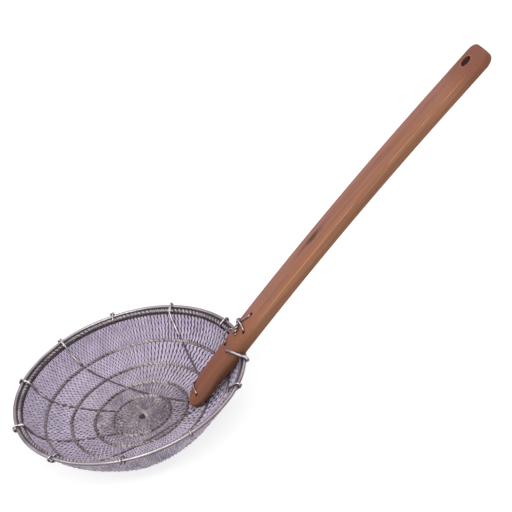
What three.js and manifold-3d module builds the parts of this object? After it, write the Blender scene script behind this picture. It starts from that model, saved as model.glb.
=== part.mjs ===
// Wire noodle skimmer: a dished net of steel wire on a double rim, held to a split bamboo handle.
// Millimetres and degrees. The origin is the middle of the basket's flat underside.
// +Z runs up the basket's axis, and +X is the handle's direction seen from above.
import * as THREE from "three";
import { mergeVertices } from "three/addons/utils/BufferGeometryUtils.js";
import Module from "manifold-3d";

const wasm = await Module();
wasm.setup();

// Clearances
const SEAT_GAP = 0.3;
const BORE_CLEARANCE = 0.4;

// Double rim
const RIM_DIAMETER = 239;
const RIM_WIRE = 3.2;
const INNER_RIM_WIRE = 3.2;
const INNER_RIM_INSET = 4.6;
const INNER_RIM_DROP = 1.6;

// Dished net, from the inner rim down to its gathered middle: a flat dish inside a steep wall
const BOWL_DEPTH = 46.5;
const DISH_DEPTH = 25.4;
const DISH_POWER = 2.2;
const WALL_POWER = 11;
const NET_THICKNESS = 1.2;
const NET_WIRE_WIDTH = 2;
const NET_EDGE_WIDTH = 1.6;
const NET_WIRE_MOST_SHARE = 0.45;
const NET_GAPS = [16, 22, 30, 36, 44];
const NET_WALL_STEPS = [1, 1, 1, 1, 2];

// Hoops that the net is knitted round, from the innermost out
const INNER_HOOP_RADIUS = 30.2;
const OUTER_HOOP_FROM_RIM = 18.1;
const HOOP_SPREAD = [0, 0.28, 0.63, 1];
const HOOP_WIRE = 2;

// Gathered knot in the middle, flat underneath
const KNOT_RADIUS = 5;
const KNOT_DROP = 3;
const KNOT_RISE = 1;
const KNOT_EDGE = 0.8;
const KNOT_EYE_RADIUS = 1.6;
const KNOT_EYE_DEPTH = 2.4;

// Ties that bind the two rims, by azimuth from the handle's direction.
// Some hold a stay, which runs to the fan at the tongue's tip or to the tongue's side.
const TIE_WIRE = 1.6;
const TIE_END_GAP = 1.6;
const TIES = [
  { azimuth: 13.5, stay: "none" },
  { azimuth: 50, stay: "side" },
  { azimuth: 82, stay: "none" },
  { azimuth: 112, stay: "fan" },
  { azimuth: 144, stay: "fan" },
  { azimuth: 179, stay: "fan" },
  { azimuth: 213.5, stay: "fan" },
  { azimuth: 250, stay: "fan" },
  { azimuth: 284, stay: "none" },
  { azimuth: 318.5, stay: "side" },
];

// Stay wires under the net, from a tie to the handle's tongue
const STAY_WIRE = 1.6;
const FAN_RADIUS = 6;
const SIDE_STAY_FROM_TIP = 30;
const STAY_DIVE = 7;
const STAY_SAG = 0.6;

// Bamboo handle
const HANDLE_LENGTH = 457;
const HANDLE_WIDTH = 32;
const TONGUE_WIDTH = 29;
const HANDLE_THICKNESS = 10.5;
const TIP_THICKNESS = 4.4;
const HANDLE_EDGE = 1.6;
const HANDLE_BOW = 6.9;
const HANDLE_OFFSET = -20.9;
const TONGUE_LENGTH = 90;
const TONGUE_WIDENS_FROM = 40;
const TONGUE_WIDENS_TO = 117;
const TONGUE_THINS_FROM = 72;
const TIP_SKEW = -7;
const TIP_ROUND_LEFT = 32;
const TIP_ROUND_RIGHT = 16;
const END_ROUND_LEFT = 8;
const END_ROUND_RIGHT = 16;
const END_STRAIGHT = 60;

// Hanging hole, an upright oval near the far end
const HANG_HOLE_WIDTH = 10;
const HANG_HOLE_LENGTH = 13.5;
const HANG_HOLE_FROM_END = 20;
const HANG_HOLE_OFFSET = 4.4;

// Binding wires on the handle. Bore and edge run along it, from the tip or from the rim's crossing.
const BINDING_WIRE = 1.6;
const STAPLE_WIRE = 3;
const STAPLE = { from: TONGUE_LENGTH, bore: -22, offset: -2.2, edge: -15, drop: 5.8 };
const TIP_BINDING = { from: 0, bore: 15, offset: -5.3, edge: 18, drop: 6 };
const UPPER_BINDING = { from: TONGUE_LENGTH, bore: 20, offset: 4.8, edge: 11.5, drop: 10 };
const LOWER_BINDING = { from: TONGUE_LENGTH, bore: 5.5, offset: -2.9, edge: 7, drop: 10 };
const CURL_BINDING = { from: TONGUE_LENGTH, bore: -18, offset: 8.6, edge: -11, drop: 9 };

// Facets of the round pieces
const RIM_STEPS = 56;
const RIM_SIDES = 8;
const HOOP_FIRST_STEPS = 24;
const HOOP_MORE_STEPS = 6;
const KNOT_STEPS = 16;
const WIRE_SIDES = 6;
const ROOM_SIDES = 8;
const TIE_STEPS = 20;
const STAY_STEPS = 26;
const BINDING_STEPS = 30;
const BORE_SIDES = 8;
const HANG_HOLE_SIDES = 20;

const DEGREE = Math.PI / 180;
const STEEPEST_SLOPE = 60 * DEGREE;
const SLOPE_HALVINGS = 50;

// Derived places
const RIM_RADIUS = RIM_DIAMETER / 2;
const INNER_RIM_RADIUS = RIM_RADIUS - INNER_RIM_INSET;
const INNER_RIM_HEIGHT = KNOT_DROP + BOWL_DEPTH;
const RIM_HEIGHT = INNER_RIM_HEIGHT + INNER_RIM_DROP;
const HOOP_COUNT = HOOP_SPREAD.length;
const STAY_LIFT = HOOP_WIRE / 2 + SEAT_GAP + STAY_WIRE / 2;

const RIM_STEEL = { color: 0x8b8390, roughness: 0.34, metalness: 0.9 };
const HOOP_STEEL = { color: 0x77706f, roughness: 0.45, metalness: 0.85 };
const NET_STEEL = { color: 0xb4abc0, roughness: 0.4, metalness: 0.8 };
const BAMBOO = { color: 0x98604a, roughness: 0.55, metalness: 0 };

const skimmer = new THREE.Group();
const basket = new THREE.Group();
const handleGroup = new THREE.Group();
skimmer.add(basket, handleGroup);

function addMesh(group, name, geometry, look) {
  const mesh = new THREE.Mesh(geometry, new THREE.MeshStandardMaterial(look));
  mesh.name = name;
  group.add(mesh);
  return mesh;
}

// A closed geometry as a solid that can be cut
function solidOf(geometry, matrix = new THREE.Matrix4()) {
  const bare = new THREE.BufferGeometry();
  const flat = geometry.index ? geometry.toNonIndexed() : geometry;
  bare.setAttribute("position", flat.getAttribute("position").clone());
  bare.applyMatrix4(matrix);
  const merged = mergeVertices(bare, 1e-3);
  const mesh = new wasm.Mesh({
    numProp: 3,
    vertProperties: merged.attributes.position.array,
    triVerts: new Uint32Array(merged.index.array),
  });
  return new wasm.Manifold(mesh);
}

function geometryOf(solid) {
  const mesh = solid.getMesh();
  const geometry = new THREE.BufferGeometry();
  geometry.setAttribute("position", new THREE.BufferAttribute(mesh.vertProperties, 3));
  geometry.setIndex(new THREE.BufferAttribute(mesh.triVerts, 1));
  return geometry;
}

function cut(geometry, cutters) {
  const solid = cutters.reduce((rest, cutter) => rest.subtract(cutter), solidOf(geometry));
  return geometryOf(solid);
}

// A round wire's section, drawn as a polygon
function wireSection(diameter, sides) {
  const points = [];
  for (let i = 0; i < sides; i += 1) {
    const angle = (2 * Math.PI * i) / sides;
    points.push(new THREE.Vector2(Math.cos(angle), Math.sin(angle)).multiplyScalar(diameter / 2));
  }
  return new THREE.Shape(points);
}

function wireAlong(curve, diameter, steps, sides = WIRE_SIDES) {
  return new THREE.ExtrudeGeometry(wireSection(diameter, sides), { steps, extrudePath: curve });
}

// Straight runs joined by rounded corners, one radius for each inner point
function filletCurve(points, radii) {
  const path = new THREE.CurvePath();
  let from = points[0];
  for (let i = 1; i < points.length - 1; i += 1) {
    const corner = points[i];
    const back = points[i - 1].clone().sub(corner).normalize();
    const ahead = points[i + 1].clone().sub(corner).normalize();
    const start = corner.clone().addScaledVector(back, radii[i - 1]);
    const end = corner.clone().addScaledVector(ahead, radii[i - 1]);
    path.add(new THREE.LineCurve3(from, start));
    path.add(new THREE.QuadraticBezierCurve3(start, corner, end));
    from = end;
  }
  path.add(new THREE.LineCurve3(from, points[points.length - 1]));
  return path;
}

// Height of the net's middle surface at a radius, and its tilt there
function bowlHeight(radius) {
  const share = Math.min(radius / INNER_RIM_RADIUS, 1);
  const wall = (BOWL_DEPTH - DISH_DEPTH) * share ** WALL_POWER;
  return KNOT_DROP + DISH_DEPTH * share ** DISH_POWER + wall;
}

function bowlTilt(radius) {
  const share = Math.min(radius / INNER_RIM_RADIUS, 1);
  const dish = DISH_DEPTH * DISH_POWER * share ** (DISH_POWER - 1);
  const wall = (BOWL_DEPTH - DISH_DEPTH) * WALL_POWER * share ** (WALL_POWER - 1);
  return Math.atan((dish + wall) / INNER_RIM_RADIUS);
}

// A point over the bowl's surface, raised along the surface's own normal
function overBowl(radius, azimuth, lift) {
  const tilt = bowlTilt(radius);
  const out = radius - lift * Math.sin(tilt);
  const height = bowlHeight(radius) + lift * Math.cos(tilt);
  return new THREE.Vector3(out * Math.cos(azimuth), out * Math.sin(azimuth), height);
}

// Radius of a hoop, or of the inner rim after the last one
function hoopRadius(index) {
  if (index === HOOP_COUNT) {
    return INNER_RIM_RADIUS;
  }
  const outermost = INNER_RIM_RADIUS - OUTER_HOOP_FROM_RIM;
  return THREE.MathUtils.lerp(INNER_HOOP_RADIUS, outermost, HOOP_SPREAD[index]);
}

// A radius moved along the bowl's surface by a length
function alongBowl(radius, length) {
  return radius + length * Math.cos(bowlTilt(radius));
}

function ring(radius, wire, steps, sides) {
  return new THREE.TorusGeometry(radius, wire / 2, sides, steps);
}

function makeRims() {
  const outer = ring(RIM_RADIUS, RIM_WIRE, RIM_STEPS, RIM_SIDES);
  addMesh(basket, "outer_rim_wire", outer, RIM_STEEL).position.z = RIM_HEIGHT;
  const inner = ring(INNER_RIM_RADIUS, INNER_RIM_WIRE, RIM_STEPS, RIM_SIDES);
  addMesh(basket, "inner_rim_wire", inner, HOOP_STEEL).position.z = INNER_RIM_HEIGHT;
}

function makeHoops() {
  for (let i = 0; i < HOOP_COUNT; i += 1) {
    const steps = HOOP_FIRST_STEPS + HOOP_MORE_STEPS * i;
    const geometry = ring(hoopRadius(i), HOOP_WIRE, steps, WIRE_SIDES);
    const mesh = addMesh(basket, `net_hoop_${i + 1}`, geometry, HOOP_STEEL);
    mesh.position.z = bowlHeight(hoopRadius(i));
  }
}

function makeKnot() {
  const top = KNOT_DROP + KNOT_RISE;
  const profile = [
    new THREE.Vector2(0, 0),
    new THREE.Vector2(KNOT_RADIUS - KNOT_EDGE, 0),
    new THREE.Vector2(KNOT_RADIUS, KNOT_EDGE),
    new THREE.Vector2(KNOT_RADIUS, top - KNOT_EDGE),
    new THREE.Vector2(KNOT_RADIUS - KNOT_EDGE, top),
    new THREE.Vector2(KNOT_EYE_RADIUS, top),
    new THREE.Vector2(0, top - KNOT_EYE_DEPTH),
  ];
  const geometry = new THREE.LatheGeometry(profile, KNOT_STEPS);
  addMesh(basket, "centre_knot", geometry, HOOP_STEEL).rotation.x = Math.PI / 2;
}

// One band of the net between two hoops: wires side by side, joined at the band's two edges
function netBand(inner, outer, gaps, wallSteps) {
  const radii = [inner, alongBowl(inner, NET_EDGE_WIDTH)];
  const last = alongBowl(outer, -NET_EDGE_WIDTH);
  for (let i = 1; i <= wallSteps; i += 1) {
    radii.push(radii[1] + ((last - radii[1]) * i) / wallSteps);
  }
  radii.push(outer);
  const pitch = (2 * Math.PI) / gaps;
  const positions = [];
  const indices = [];
  const columns = 2 * gaps;
  const at = (row, column, side) => (row * columns + (column % columns)) * 2 + side;
  const quad = (a, b, c, d) => indices.push(a, b, c, a, c, d);
  for (const radius of radii) {
    const half = Math.min(NET_WIRE_WIDTH / 2 / radius, (NET_WIRE_MOST_SHARE * pitch) / 2);
    for (let column = 0; column < columns; column += 1) {
      const azimuth = Math.floor(column / 2) * pitch + (column % 2 ? half : -half);
      for (const side of [-1, 1]) {
        positions.push(...overBowl(radius, azimuth, (side * NET_THICKNESS) / 2));
      }
    }
  }
  const rows = radii.length;
  for (let column = 0; column < columns; column += 1) {
    const next = column + 1;
    const isWire = column % 2 === 0;
    for (let row = 0; row < rows - 1; row += 1) {
      const isEdge = row === 0 || row === rows - 2;
      if (isWire || isEdge) {
        quad(at(row, column, 1), at(row + 1, column, 1), at(row + 1, next, 1), at(row, next, 1));
        quad(at(row, column, 0), at(row, next, 0), at(row + 1, next, 0), at(row + 1, column, 0));
      }
      if (isWire && !isEdge) {
        quad(at(row, column, 1), at(row, column, 0), at(row + 1, column, 0), at(row + 1, column, 1));
        quad(at(row, next, 1), at(row + 1, next, 1), at(row + 1, next, 0), at(row, next, 0));
      }
    }
    const ends = isWire ? [[0, rows - 1]] : [[0, 1], [rows - 2, rows - 1]];
    for (const [low, high] of ends) {
      quad(at(low, column, 1), at(low, next, 1), at(low, next, 0), at(low, column, 0));
      quad(at(high, column, 1), at(high, column, 0), at(high, next, 0), at(high, next, 1));
    }
  }
  const geometry = new THREE.BufferGeometry();
  geometry.setAttribute("position", new THREE.Float32BufferAttribute(positions, 3));
  geometry.setIndex(indices);
  return geometry;
}

function makeNet(cutters) {
  for (let i = 0; i <= HOOP_COUNT; i += 1) {
    const below = i === 0 ? KNOT_RADIUS : HOOP_WIRE / 2;
    const from = i === 0 ? 0 : hoopRadius(i - 1);
    const above = i === HOOP_COUNT ? INNER_RIM_WIRE / 2 : HOOP_WIRE / 2;
    const inner = alongBowl(from, below + SEAT_GAP);
    const outer = alongBowl(hoopRadius(i), -above - SEAT_GAP);
    const band = netBand(inner, outer, NET_GAPS[i], NET_WALL_STEPS[i]);
    addMesh(basket, `net_band_${i + 1}`, cut(band, cutters), NET_STEEL);
  }
}

// A tie is an open loop round both rims, in the plane of the basket's axis
function tieCurve(azimuth) {
  const reach = Math.max(RIM_WIRE, INNER_RIM_WIRE) / 2 + SEAT_GAP + TIE_WIRE / 2;
  const tilt = Math.atan2(INNER_RIM_DROP, INNER_RIM_INSET);
  const span = Math.hypot(INNER_RIM_DROP, INNER_RIM_INSET);
  const flat = [];
  flat.push([(span + TIE_END_GAP) / 2, -reach]);
  for (const angle of [-90, -45, 0, 45, 90]) {
    const turn = angle * DEGREE;
    flat.push([span + reach * Math.cos(turn), reach * Math.sin(turn)]);
  }
  for (const angle of [90, 135, 180, 225, 270]) {
    const turn = angle * DEGREE;
    flat.push([reach * Math.cos(turn), reach * Math.sin(turn)]);
  }
  flat.push([(span - TIE_END_GAP) / 2, -reach]);
  const points = flat.map(([along, up]) => {
    const out = INNER_RIM_RADIUS + along * Math.cos(tilt) - up * Math.sin(tilt);
    const height = INNER_RIM_HEIGHT + along * Math.sin(tilt) + up * Math.cos(tilt);
    return new THREE.Vector3(out * Math.cos(azimuth), out * Math.sin(azimuth), height);
  });
  return new THREE.CatmullRomCurve3(points, false, "centripetal");
}

// How far along a straight run seen from above it passes nearest to the axis, as a share
function shareAtNearest(from, to) {
  const dx = to.x - from.x;
  const dy = to.y - from.y;
  return -(from.x * dx + from.y * dy) / (dx * dx + dy * dy);
}

// How far along a straight run seen from above it first comes to a radius, as a share
function shareAtRadius(from, to, radius) {
  const square = (to.x - from.x) ** 2 + (to.y - from.y) ** 2;
  const nearest = shareAtNearest(from, to);
  const rest = (from.x ** 2 + from.y ** 2 - radius ** 2) / square;
  return nearest - Math.sqrt(Math.max(0, nearest * nearest - rest));
}

// A stay lies on the net by the rim, dives through it and runs on under the net to its end,
// round the side of the knot
function stayCurve(azimuth, end) {
  const tieReach = INNER_RIM_WIRE / 2 + TIE_WIRE + 2 * SEAT_GAP + STAY_WIRE / 2;
  const top = alongBowl(INNER_RIM_RADIUS, -tieReach);
  const start = overBowl(top, azimuth, 0);
  const diveEnd = hoopRadius(HOOP_COUNT - 1) + HOOP_WIRE + STAY_WIRE;
  const dive = shareAtRadius(start, end, diveEnd + STAY_DIVE);
  const under = shareAtRadius(start, end, diveEnd);
  const shares = [0, dive, under];
  const nearest = THREE.MathUtils.clamp(shareAtNearest(start, end), under, 1);
  const legs = [[under, nearest, 5], [nearest, 1, 3]].filter(([from, to]) => to > from);
  for (const [from, to, runs] of legs) {
    for (let i = 1; i <= runs; i += 1) {
      shares.push(from + ((to - from) * i) / runs);
    }
  }
  const clear = KNOT_RADIUS + SEAT_GAP + STAY_WIRE / 2;
  const points = shares.map((share) => {
    const x = start.x + (end.x - start.x) * share;
    const y = start.y + (end.y - start.y) * share;
    const lift = share <= dive ? STAY_LIFT : -STAY_LIFT - STAY_SAG;
    return overBowl(Math.max(Math.hypot(x, y), clear), Math.atan2(y, x), lift);
  });
  return new THREE.CatmullRomCurve3(points, false, "centripetal");
}

// The handle's own frame: x along it from the tip, y to its left, z out of its top face.
// The slope seats the tongue on the rim and its tip just over the net.
function tongueTip(slope) {
  const edge = RIM_WIRE / 2 + SEAT_GAP + HANDLE_THICKNESS / Math.cos(slope);
  const cross = Math.sqrt(RIM_RADIUS ** 2 - HANDLE_OFFSET ** 2);
  const sag = bow(TONGUE_LENGTH);
  const x = cross - TONGUE_LENGTH * Math.cos(slope) + sag * Math.sin(slope);
  const z = RIM_HEIGHT + edge - TONGUE_LENGTH * Math.sin(slope) - sag * Math.cos(slope);
  return new THREE.Vector3(x, HANDLE_OFFSET, z);
}

function tipClearance(slope) {
  const tip = tongueTip(slope);
  const underX = tip.x + TIP_THICKNESS * Math.sin(slope);
  const underZ = tip.z - TIP_THICKNESS * Math.cos(slope);
  const net = bowlHeight(Math.hypot(underX, HANDLE_OFFSET + TIP_SKEW));
  return underZ - net - HOOP_WIRE / 2 - SEAT_GAP;
}

function findSlope() {
  let low = 0;
  let high = STEEPEST_SLOPE;
  for (let i = 0; i < SLOPE_HALVINGS; i += 1) {
    const middle = (low + high) / 2;
    if (tipClearance(middle) > 0) {
      low = middle;
    } else {
      high = middle;
    }
  }
  return low;
}

// The bamboo arches a little along its length, and is straight by its far end
function bow(along) {
  const straight = HANDLE_LENGTH - END_STRAIGHT;
  const arch = (x) => (4 * HANDLE_BOW * x * (HANDLE_LENGTH - x)) / HANDLE_LENGTH ** 2;
  if (along <= straight) {
    return arch(along);
  }
  const fall = (4 * HANDLE_BOW * (HANDLE_LENGTH - 2 * straight)) / HANDLE_LENGTH ** 2;
  return arch(straight) + fall * (along - straight);
}

// The tongue is pared on its left side only
function handleWidth(along) {
  const share = THREE.MathUtils.smoothstep(along, TONGUE_WIDENS_FROM, TONGUE_WIDENS_TO);
  return THREE.MathUtils.lerp(TONGUE_WIDTH, HANDLE_WIDTH, share);
}

function handleThickness(along) {
  const share = THREE.MathUtils.smoothstep(along, 0, TONGUE_THINS_FROM);
  return THREE.MathUtils.lerp(TIP_THICKNESS, HANDLE_THICKNESS, share);
}

// Share of the full half width left beside a rounded end
function roundShare(distance, round) {
  const back = 1 - Math.min(distance / round, 1);
  return Math.sqrt(Math.max(0, 1 - back * back));
}

function handleSides(along) {
  const rightHalf = HANDLE_WIDTH / 2;
  const leftHalf = handleWidth(along) - rightHalf;
  const fromEnd = HANDLE_LENGTH - along;
  const leftCut = END_ROUND_LEFT * (1 - roundShare(fromEnd, END_ROUND_LEFT));
  const rightCut = END_ROUND_RIGHT * (1 - roundShare(fromEnd, END_ROUND_RIGHT));
  const left = TIP_SKEW + (leftHalf - TIP_SKEW) * roundShare(along, TIP_ROUND_LEFT);
  const right = TIP_SKEW - (rightHalf + TIP_SKEW) * roundShare(along, TIP_ROUND_RIGHT);
  return { left: left - leftCut, right: right + rightCut };
}

// One cross-section of the handle, its four edges rounded
function handleSection(along, inset) {
  const sides = handleSides(along);
  const left = sides.left - inset;
  const right = sides.right + inset;
  const top = bow(along) - inset;
  const bottom = bow(along) - handleThickness(along) + inset;
  const edge = Math.min(HANDLE_EDGE, (left - right) / 3, (top - bottom) / 3);
  const corners = [
    [left - edge, top - edge, 0],
    [right + edge, top - edge, 90],
    [right + edge, bottom + edge, 180],
    [left - edge, bottom + edge, 270],
  ];
  const points = [];
  for (const [y, z, turn] of corners) {
    for (const angle of [0, 45, 90]) {
      const way = (turn + angle) * DEGREE;
      points.push(new THREE.Vector3(along, y + edge * Math.cos(way), z + edge * Math.sin(way)));
    }
  }
  return points;
}

function handleStations() {
  const stations = [];
  const tipSteps = 8;
  for (let i = 0; i <= tipSteps; i += 1) {
    const angle = (Math.PI / 2) * (i / tipSteps);
    stations.push(HANDLE_EDGE / 4 + TIP_ROUND_LEFT * (1 - Math.cos(angle)));
  }
  const gripStart = stations[tipSteps];
  const gripEnd = HANDLE_LENGTH - END_STRAIGHT;
  const gripSteps = 10;
  for (let i = 1; i <= gripSteps; i += 1) {
    stations.push(gripStart + ((gripEnd - gripStart) * i) / gripSteps);
  }
  const endSteps = 5;
  for (let i = 0; i <= endSteps; i += 1) {
    const angle = (Math.PI / 2) * (i / endSteps);
    stations.push(HANDLE_LENGTH - HANDLE_EDGE / 4 - END_ROUND_RIGHT * (1 - Math.sin(angle)));
  }
  return stations;
}

// The handle before its bores, or the room it needs when drawn wider all round
function handleBlank(wider) {
  const stations = handleStations();
  const sections = stations.map((along) => handleSection(along, -wider));
  const firstInset = handleSection(stations[0], HANDLE_EDGE / 2 - wider);
  sections.unshift(firstInset.map((p) => p.setX(-wider)));
  const lastInset = handleSection(stations[stations.length - 1], HANDLE_EDGE / 2);
  sections.push(lastInset.map((p) => p.setX(HANDLE_LENGTH)));
  const around = sections[0].length;
  const positions = sections.flat().flatMap((p) => [p.x, p.y, p.z]);
  const indices = [];
  for (let i = 0; i < sections.length - 1; i += 1) {
    for (let j = 0; j < around; j += 1) {
      const a = i * around + j;
      const b = i * around + ((j + 1) % around);
      indices.push(a, b, b + around, a, b + around, a + around);
    }
  }
  const lastRing = (sections.length - 1) * around;
  for (let j = 1; j < around - 1; j += 1) {
    indices.push(0, j + 1, j);
    indices.push(lastRing, lastRing + j, lastRing + j + 1);
  }
  const geometry = new THREE.BufferGeometry();
  geometry.setAttribute("position", new THREE.Float32BufferAttribute(positions, 3));
  geometry.setIndex(indices);
  return geometry;
}

// An oval bore right through the handle
function boreCutter(along, offset, width, length, sides) {
  const geometry = new THREE.CylinderGeometry(width / 2, width / 2, 4 * HANDLE_THICKNESS, sides);
  geometry.rotateX(Math.PI / 2);
  geometry.scale(length / width, 1, 1);
  geometry.translate(along, offset, bow(along));
  return solidOf(geometry);
}

// A wire from a bore, over the top face to one edge and down that side
function bindingCurve(place, wire, side) {
  const lift = wire / 2 + SEAT_GAP;
  const bore = place.from + place.bore;
  const edge = place.from + place.edge;
  const sides = handleSides(edge);
  const beside = (side > 0 ? sides.left : sides.right) + side * lift;
  const points = [
    new THREE.Vector3(bore, place.offset, bow(bore) - handleThickness(bore)),
    new THREE.Vector3(bore, place.offset, bow(bore) + lift),
    new THREE.Vector3(edge, beside, bow(edge) + lift),
    new THREE.Vector3(edge, beside, bow(edge) - place.drop),
  ];
  return filletCurve(points, [lift, lift + HANDLE_EDGE / 2]);
}

function makeHandle() {
  const toLocal = handleGroup.matrixWorld.clone().invert();
  const seats = [
    [RIM_RADIUS, RIM_WIRE, RIM_HEIGHT],
    [INNER_RIM_RADIUS, INNER_RIM_WIRE, INNER_RIM_HEIGHT],
  ];
  const cutters = seats.map(([radius, wire, height]) => {
    const geometry = ring(radius, wire + 2 * SEAT_GAP, RIM_STEPS, RIM_SIDES);
    return solidOf(geometry.translate(0, 0, height), toLocal);
  });
  for (const [place, wire] of handleBindings()) {
    const width = wire + 2 * BORE_CLEARANCE;
    cutters.push(boreCutter(place.from + place.bore, place.offset, width, width, BORE_SIDES));
  }
  const hang = HANDLE_LENGTH - HANG_HOLE_FROM_END;
  const oval = [HANG_HOLE_WIDTH, HANG_HOLE_LENGTH, HANG_HOLE_SIDES];
  cutters.push(boreCutter(hang, HANG_HOLE_OFFSET, ...oval));
  addMesh(handleGroup, "bamboo_handle", cut(handleBlank(0), cutters), BAMBOO);
}

function handleBindings() {
  return [
    [STAPLE, STAPLE_WIRE, -1, "rim_staple"],
    [TIP_BINDING, BINDING_WIRE, 1, "tip_binding"],
    [UPPER_BINDING, BINDING_WIRE, 1, "upper_binding"],
    [LOWER_BINDING, BINDING_WIRE, 1, "lower_binding"],
    [CURL_BINDING, BINDING_WIRE, 1, "curl_binding"],
  ];
}

function makeBindings() {
  for (const [place, wire, side, name] of handleBindings()) {
    const geometry = wireAlong(bindingCurve(place, wire, side), wire, BINDING_STEPS);
    addMesh(handleGroup, name, geometry, RIM_STEEL);
  }
}

// Ties and stays, with the room that each needs in the net
function makeTiesAndStays() {
  const room = [];
  const wider = 2 * SEAT_GAP;
  TIES.forEach((tie, i) => {
    const curve = tieCurve(tie.azimuth * DEGREE);
    addMesh(basket, `rim_tie_${i + 1}`, wireAlong(curve, TIE_WIRE, TIE_STEPS), RIM_STEEL);
    room.push(solidOf(wireAlong(curve, TIE_WIRE + wider, TIE_STEPS, ROOM_SIDES)));
  });
  const binding = new THREE.Vector3(TIP_BINDING.bore, TIP_BINDING.offset, 0);
  const fan = handleGroup.localToWorld(binding);
  const stays = [];
  for (const tie of TIES.filter(({ stay }) => stay === "fan")) {
    const azimuth = tie.azimuth * DEGREE;
    const far = new THREE.Vector3(Math.cos(azimuth), Math.sin(azimuth), 0).multiplyScalar(RIM_RADIUS);
    const way = far.sub(fan).setZ(0).normalize();
    stays.push([azimuth, fan.clone().addScaledVector(way, FAN_RADIUS)]);
  }
  for (const tie of TIES.filter(({ stay }) => stay === "side")) {
    const azimuth = tie.azimuth * DEGREE;
    const side = Math.sign(Math.sin(azimuth));
    const under = new THREE.Vector3(SIDE_STAY_FROM_TIP, (side * TONGUE_WIDTH) / 3, 0);
    stays.push([azimuth, handleGroup.localToWorld(under)]);
  }
  stays.forEach(([azimuth, end], i) => {
    const curve = stayCurve(azimuth, end);
    addMesh(basket, `stay_wire_${i + 1}`, wireAlong(curve, STAY_WIRE, STAY_STEPS), RIM_STEEL);
    room.push(solidOf(wireAlong(curve, STAY_WIRE + wider, STAY_STEPS, ROOM_SIDES)));
  });
  return room;
}

const slope = findSlope();
handleGroup.position.copy(tongueTip(slope));
handleGroup.rotation.y = -slope;
handleGroup.updateMatrixWorld(true);

makeRims();
makeHoops();
makeKnot();
const room = makeTiesAndStays();
room.push(solidOf(handleBlank(SEAT_GAP), handleGroup.matrixWorld));
makeNet(room);
makeHandle();
makeBindings();

export default skimmer;
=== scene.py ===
"""Looks of a wire noodle skimmer with a bamboo handle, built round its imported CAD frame.

Sizes are millimetres in the part's own frame. Meshes, shaders, lamps and the floor are in metres.
"""
import math
from functools import partialmethod

import bpy
import numpy as np
from mathutils import Matrix, Vector


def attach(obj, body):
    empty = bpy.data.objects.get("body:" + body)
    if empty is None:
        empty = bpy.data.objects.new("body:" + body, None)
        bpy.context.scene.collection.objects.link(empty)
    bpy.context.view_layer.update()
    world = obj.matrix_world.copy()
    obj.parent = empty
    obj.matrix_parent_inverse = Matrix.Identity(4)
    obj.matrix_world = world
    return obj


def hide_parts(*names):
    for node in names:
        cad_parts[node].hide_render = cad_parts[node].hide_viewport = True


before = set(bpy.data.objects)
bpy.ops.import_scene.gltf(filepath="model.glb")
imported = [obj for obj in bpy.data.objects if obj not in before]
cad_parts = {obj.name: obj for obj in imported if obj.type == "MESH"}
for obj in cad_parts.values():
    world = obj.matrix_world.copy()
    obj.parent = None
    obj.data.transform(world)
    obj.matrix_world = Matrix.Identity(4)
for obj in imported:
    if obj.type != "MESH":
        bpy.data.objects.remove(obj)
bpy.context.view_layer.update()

MM = 0.001
BODY = "root"
SEED = 11
rng = np.random.default_rng(SEED)

# Sides of most round wires
ROUND_SIDES = 8

# Rims and bowl, as in the CAD model
RIM_RADIUS = 119.5
RIM_HEIGHT = 51.1
RIM_WIRE = 3.5
RIM_STEPS = 360
RIM_SIDES = 16
INNER_RIM_RADIUS = 114.9
INNER_RIM_HEIGHT = 49.5
KNOT_DROP = 3.0
BOWL_DEPTH = 46.5
DISH_DEPTH = 25.4
DISH_POWER = 2.2
WALL_POWER = 11.0
HOOP_RADII = [30.2, 48.85, 72.16, 96.8]

# How the inner rim lies lower on its near side
INNER_RIM_DROP = 1.7
INNER_RIM_LOW_SIDE = math.radians(275)
RIM_DROP_POWER = 1.5

# Bulges and dents of the wall: depth, azimuth and spread in degrees, radius and reach
BULGES = [(2.4, 260, 19, 97.0, 15.0), (-4.2, 313, 23, 103.0, 15.0)]
BULGE_HELD = (INNER_RIM_RADIUS, INNER_RIM_RADIUS - 9.0)

# Waves round the rings and in the net's phase: depth, number and start
RIM_WANDER = [(0.22, 3, 0.6), (0.12, 8, 0.0)]
RIM_WANDER_UP = 0.5
HOOP_WANDER = [(0.35, 5, 1), (0.25, 13, 2)]
NET_DRIFT = [(1.4, 3, 1), (1.0, 7, 2)]

# Fine net: wires in each band, from the middle outwards, crowded at the near and far sides
NET_RADII = [3.2, *HOOP_RADII, INNER_RIM_RADIUS - 0.5]
NET_WIRES = [72, 150, 194, 254, 348]
NET_CROWDING = 0.17
NET_STRAY = 0.07
WIRE_SHARE = 0.38
WIRE_SHARE_LESS = 0.05
WIRE_RADIUS_LEAST = 0.34
WIRE_SIDES = 6
WIRE_LIFT = 0.3
WIRE_CRIMP = 0.22
WAVE_LENGTH = 6.6
WAVE_STEPS = 5
SLOPE_STEPS = 400
FEWEST_STEPS = 8
END_DIP = -1.5
END_RUN = 2.4

# Where its wires are thinner and show more gaps: share less, azimuth and spread in degrees
OPEN_SIDES = [(0.09, 330, 32), (0.02, 30, 30), (0.1, 214, 24)]

# Where its wires are crimped more, so that walls seen edge-on show them: depth, azimuth and spread
DEEP_CRIMPS = [(0.75, 328, 32), (0.55, 214, 26), (0.5, 160, 32)]

# Flat wires behind the gaps, rounder on the near side of the outer bands
BACK_CRIMP = 0.55
BACK_LIFT = -1.2
BACK_DIP = 0.5
BACK_SWAY = -0.5
BACK_SHARE = 0.62
BACK_FLAT = 0.55
BACK_SIDES = 4
NEAR_SIDE = (1.0, 268, 40)
NEAR_FROM_BAND = 3
NEAR_CRIMP = 0.7
NEAR_SHARE = 0.46
NEAR_FLAT = 1.05

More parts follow.
